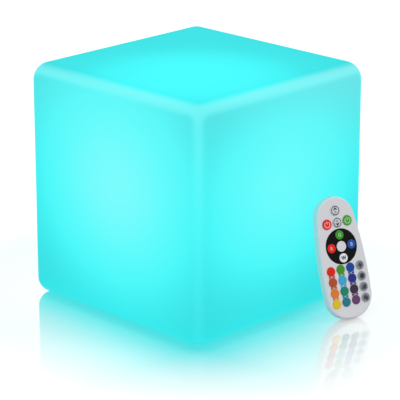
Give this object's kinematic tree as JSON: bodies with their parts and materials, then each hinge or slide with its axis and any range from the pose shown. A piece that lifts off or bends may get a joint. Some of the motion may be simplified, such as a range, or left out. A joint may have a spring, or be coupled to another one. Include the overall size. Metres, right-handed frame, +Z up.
{
  "type": "led cube light",
  "caption": "Rounded cube light of translucent plastic with a screwed service cover underneath, and a slim oval keypad remote leaning on its front face.",
  "frame": {"origin": "on the ground below the middle of the cube, in the plane of the rubber feet", "axes": "+Z up, -Y is the face that the remote leans on, +X to the right of someone facing that face"},
  "size_m": [0.2, 0.2432, 0.201],
  "materials": {
    "glow_plastic": "satin white polythene lit cyan from inside",
    "grey_rubber": "matt",
    "black_rubber": "matt",
    "white_plastic": "satin",
    "black_plastic": "satin",
    "steel": "satin",
    "board_green": "solder mask",
    "board_white": "solder mask",
    "cell_wrap": "shrink film",
    "wire_jacket": "satin",
    "emitter": "clear resin",
    "frosted_plastic": "frosted",
    "remote_plastic": "satin",
    "ring_black": "gloss",
    "pale_rubber": "matt",
    "lamp_smoke": "clear smoke",
    "key_brighter": "satin silicone",
    "key_dimmer": "satin silicone",
    "key_off": "satin silicone",
    "key_on": "satin silicone",
    "key_ring_green": "satin silicone",
    "key_ring_red": "satin silicone",
    "key_ring_blue": "satin silicone",
    "key_ring_white": "satin silicone",
    "key_colour_red": "satin silicone",
    "key_colour_rust": "satin silicone",
    "key_colour_orange": "satin silicone",
    "key_colour_yellow": "satin silicone",
    "key_colour_green": "satin silicone",
    "key_colour_sky": "satin silicone",
    "key_colour_sea": "satin silicone",
    "key_colour_teal": "satin silicone",
    "key_colour_blue": "satin silicone",
    "key_colour_navy": "satin silicone",
    "key_colour_purple": "satin silicone",
    "key_colour_plum": "satin silicone",
    "key_mode": "satin silicone"
  },
  "bodies": {
    "cube": {"diffuser_shell": "glow_plastic", "rubber_feet": "grey_rubber", "base_gasket": "grey_rubber", "base_cover": "white_plastic", "base_screws": "steel", "power_switch": "black_plastic", "charge_jack": "black_plastic", "charge_jack_pin": "steel", "socket_board": "board_green", "housing_tub": "white_plastic", "battery_tray": "black_plastic", "battery_cells": "cell_wrap", "battery_straps": "steel", "control_board": "board_green", "control_chips": "black_plastic", "inner_screws": "steel", "power_leads": "wire_jacket", "reflector_deck": "white_plastic", "led_board": "board_white", "led_emitters": "emitter", "infrared_receiver": "black_plastic", "dome_cover": "frosted_plastic", "led_leads": "wire_jacket"},
    "power_button": {"power_button": "black_rubber"},
    "charge_plug": {"charge_plug": "black_rubber"},
    "remote": {"remote_front_shell": "remote_plastic", "remote_back_shell": "remote_plastic", "remote_ring_inlay": "ring_black", "remote_key_mat": "pale_rubber", "remote_board": "board_green", "remote_board_parts": "black_plastic", "remote_coin_cell": "steel", "remote_cell_contacts": "steel", "remote_infrared_lamp": "lamp_smoke", "remote_screws": "steel"},
    "battery_door": {"remote_battery_door": "remote_plastic"},
    "key_brighter": {"key_brighter": "key_brighter"},
    "key_dimmer": {"key_dimmer": "key_dimmer"},
    "key_off": {"key_off": "key_off"},
    "key_on": {"key_on": "key_on"},
    "key_ring_green": {"key_ring_green": "key_ring_green"},
    "key_ring_red": {"key_ring_red": "key_ring_red"},
    "key_ring_blue": {"key_ring_blue": "key_ring_blue"},
    "key_ring_white": {"key_ring_white": "key_ring_white"},
    "key_colour_red": {"key_colour_red": "key_colour_red"},
    "key_colour_rust": {"key_colour_rust": "key_colour_rust"},
    "key_colour_orange": {"key_colour_orange": "key_colour_orange"},
    "key_colour_yellow": {"key_colour_yellow": "key_colour_yellow"},
    "key_colour_green": {"key_colour_green": "key_colour_green"},
    "key_colour_sky": {"key_colour_sky": "key_colour_sky"},
    "key_colour_sea": {"key_colour_sea": "key_colour_sea"},
    "key_colour_teal": {"key_colour_teal": "key_colour_teal"},
    "key_colour_blue": {"key_colour_blue": "key_colour_blue"},
    "key_colour_navy": {"key_colour_navy": "key_colour_navy"},
    "key_colour_purple": {"key_colour_purple": "key_colour_purple"},
    "key_colour_plum": {"key_colour_plum": "key_colour_plum"},
    "key_mode_1": {"key_mode_1": "key_mode"},
    "key_mode_2": {"key_mode_2": "key_mode"},
    "key_mode_3": {"key_mode_3": "key_mode"},
    "key_mode_4": {"key_mode_4": "key_mode"}
  },
  "joints": [
    {"name": "power_button_press", "type": "slide", "parent": "cube", "child": "power_button", "axis": [0, 0, 1], "range_m": [0, 0.0015], "stiffness_N_per_m": 1200},
    {"name": "charge_plug_pull", "type": "slide", "parent": "cube", "child": "charge_plug", "axis": [0, 0, -1], "range_m": [0, 0.008]},
    {"name": "remote_lift", "type": "slide", "parent": "cube", "child": "remote", "axis": [0, 0, 1], "range_m": [0, 0.21]},
    {"name": "battery_door_turn", "type": "hinge", "parent": "remote", "child": "battery_door", "pos_m": [0.04451, -0.12331, 0.02803], "axis": [-0.2781, -0.9095, 0.309], "range_deg": [0, 45]},
    {"name": "key_brighter_press", "type": "slide", "parent": "remote", "child": "key_brighter", "axis": [0.2781, 0.9095, -0.309], "range_m": [0, 0.0005], "stiffness_N_per_m": 1500},
    {"name": "key_dimmer_press", "type": "slide", "parent": "remote", "child": "key_dimmer", "axis": [0.2781, 0.9095, -0.309], "range_m": [0, 0.0005], "stiffness_N_per_m": 1500},
    {"name": "key_off_press", "type": "slide", "parent": "remote", "child": "key_off", "axis": [0.2781, 0.9095, -0.309], "range_m": [0, 0.0005], "stiffness_N_per_m": 1500},
    {"name": "key_on_press", "type": "slide", "parent": "remote", "child": "key_on", "axis": [0.2781, 0.9095, -0.309], "range_m": [0, 0.0005], "stiffness_N_per_m": 1500},
    {"name": "key_ring_green_press", "type": "slide", "parent": "remote", "child": "key_ring_green", "axis": [0.2781, 0.9095, -0.309], "range_m": [0, 0.0005], "stiffness_N_per_m": 1500},
    {"name": "key_ring_red_press", "type": "slide", "parent": "remote", "child": "key_ring_red", "axis": [0.2781, 0.9095, -0.309], "range_m": [0, 0.0005], "stiffness_N_per_m": 1500},
    {"name": "key_ring_blue_press", "type": "slide", "parent": "remote", "child": "key_ring_blue", "axis": [0.2781, 0.9095, -0.309], "range_m": [0, 0.0005], "stiffness_N_per_m": 1500},
    {"name": "key_ring_white_press", "type": "slide", "parent": "remote", "child": "key_ring_white", "axis": [0.2781, 0.9095, -0.309], "range_m": [0, 0.0005], "stiffness_N_per_m": 1500},
    {"name": "key_colour_red_press", "type": "slide", "parent": "remote", "child": "key_colour_red", "axis": [0.2781, 0.9095, -0.309], "range_m": [0, 0.0005], "stiffness_N_per_m": 1500},
    {"name": "key_colour_rust_press", "type": "slide", "parent": "remote", "child": "key_colour_rust", "axis": [0.2781, 0.9095, -0.309], "range_m": [0, 0.0005], "stiffness_N_per_m": 1500},
    {"name": "key_colour_orange_press", "type": "slide", "parent": "remote", "child": "key_colour_orange", "axis": [0.2781, 0.9095, -0.309], "range_m": [0, 0.0005], "stiffness_N_per_m": 1500},
    {"name": "key_colour_yellow_press", "type": "slide", "parent": "remote", "child": "key_colour_yellow", "axis": [0.2781, 0.9095, -0.309], "range_m": [0, 0.0005], "stiffness_N_per_m": 1500},
    {"name": "key_colour_green_press", "type": "slide", "parent": "remote", "child": "key_colour_green", "axis": [0.2781, 0.9095, -0.309], "range_m": [0, 0.0005], "stiffness_N_per_m": 1500},
    {"name": "key_colour_sky_press", "type": "slide", "parent": "remote", "child": "key_colour_sky", "axis": [0.2781, 0.9095, -0.309], "range_m": [0, 0.0005], "stiffness_N_per_m": 1500},
    {"name": "key_colour_sea_press", "type": "slide", "parent": "remote", "child": "key_colour_sea", "axis": [0.2781, 0.9095, -0.309], "range_m": [0, 0.0005], "stiffness_N_per_m": 1500},
    {"name": "key_colour_teal_press", "type": "slide", "parent": "remote", "child": "key_colour_teal", "axis": [0.2781, 0.9095, -0.309], "range_m": [0, 0.0005], "stiffness_N_per_m": 1500},
    {"name": "key_colour_blue_press", "type": "slide", "parent": "remote", "child": "key_colour_blue", "axis": [0.2781, 0.9095, -0.309], "range_m": [0, 0.0005], "stiffness_N_per_m": 1500},
    {"name": "key_colour_navy_press", "type": "slide", "parent": "remote", "child": "key_colour_navy", "axis": [0.2781, 0.9095, -0.309], "range_m": [0, 0.0005], "stiffness_N_per_m": 1500},
    {"name": "key_colour_purple_press", "type": "slide", "parent": "remote", "child": "key_colour_purple", "axis": [0.2781, 0.9095, -0.309], "range_m": [0, 0.0005], "stiffness_N_per_m": 1500},
    {"name": "key_colour_plum_press", "type": "slide", "parent": "remote", "child": "key_colour_plum", "axis": [0.2781, 0.9095, -0.309], "range_m": [0, 0.0005], "stiffness_N_per_m": 1500},
    {"name": "key_mode_1_press", "type": "slide", "parent": "remote", "child": "key_mode_1", "axis": [0.2781, 0.9095, -0.309], "range_m": [0, 0.0005], "stiffness_N_per_m": 1500},
    {"name": "key_mode_2_press", "type": "slide", "parent": "remote", "child": "key_mode_2", "axis": [0.2781, 0.9095, -0.309], "range_m": [0, 0.0005], "stiffness_N_per_m": 1500},
    {"name": "key_mode_3_press", "type": "slide", "parent": "remote", "child": "key_mode_3", "axis": [0.2781, 0.9095, -0.309], "range_m": [0, 0.0005], "stiffness_N_per_m": 1500},
    {"name": "key_mode_4_press", "type": "slide", "parent": "remote", "child": "key_mode_4", "axis": [0.2781, 0.9095, -0.309], "range_m": [0, 0.0005], "stiffness_N_per_m": 1500}
  ]
}
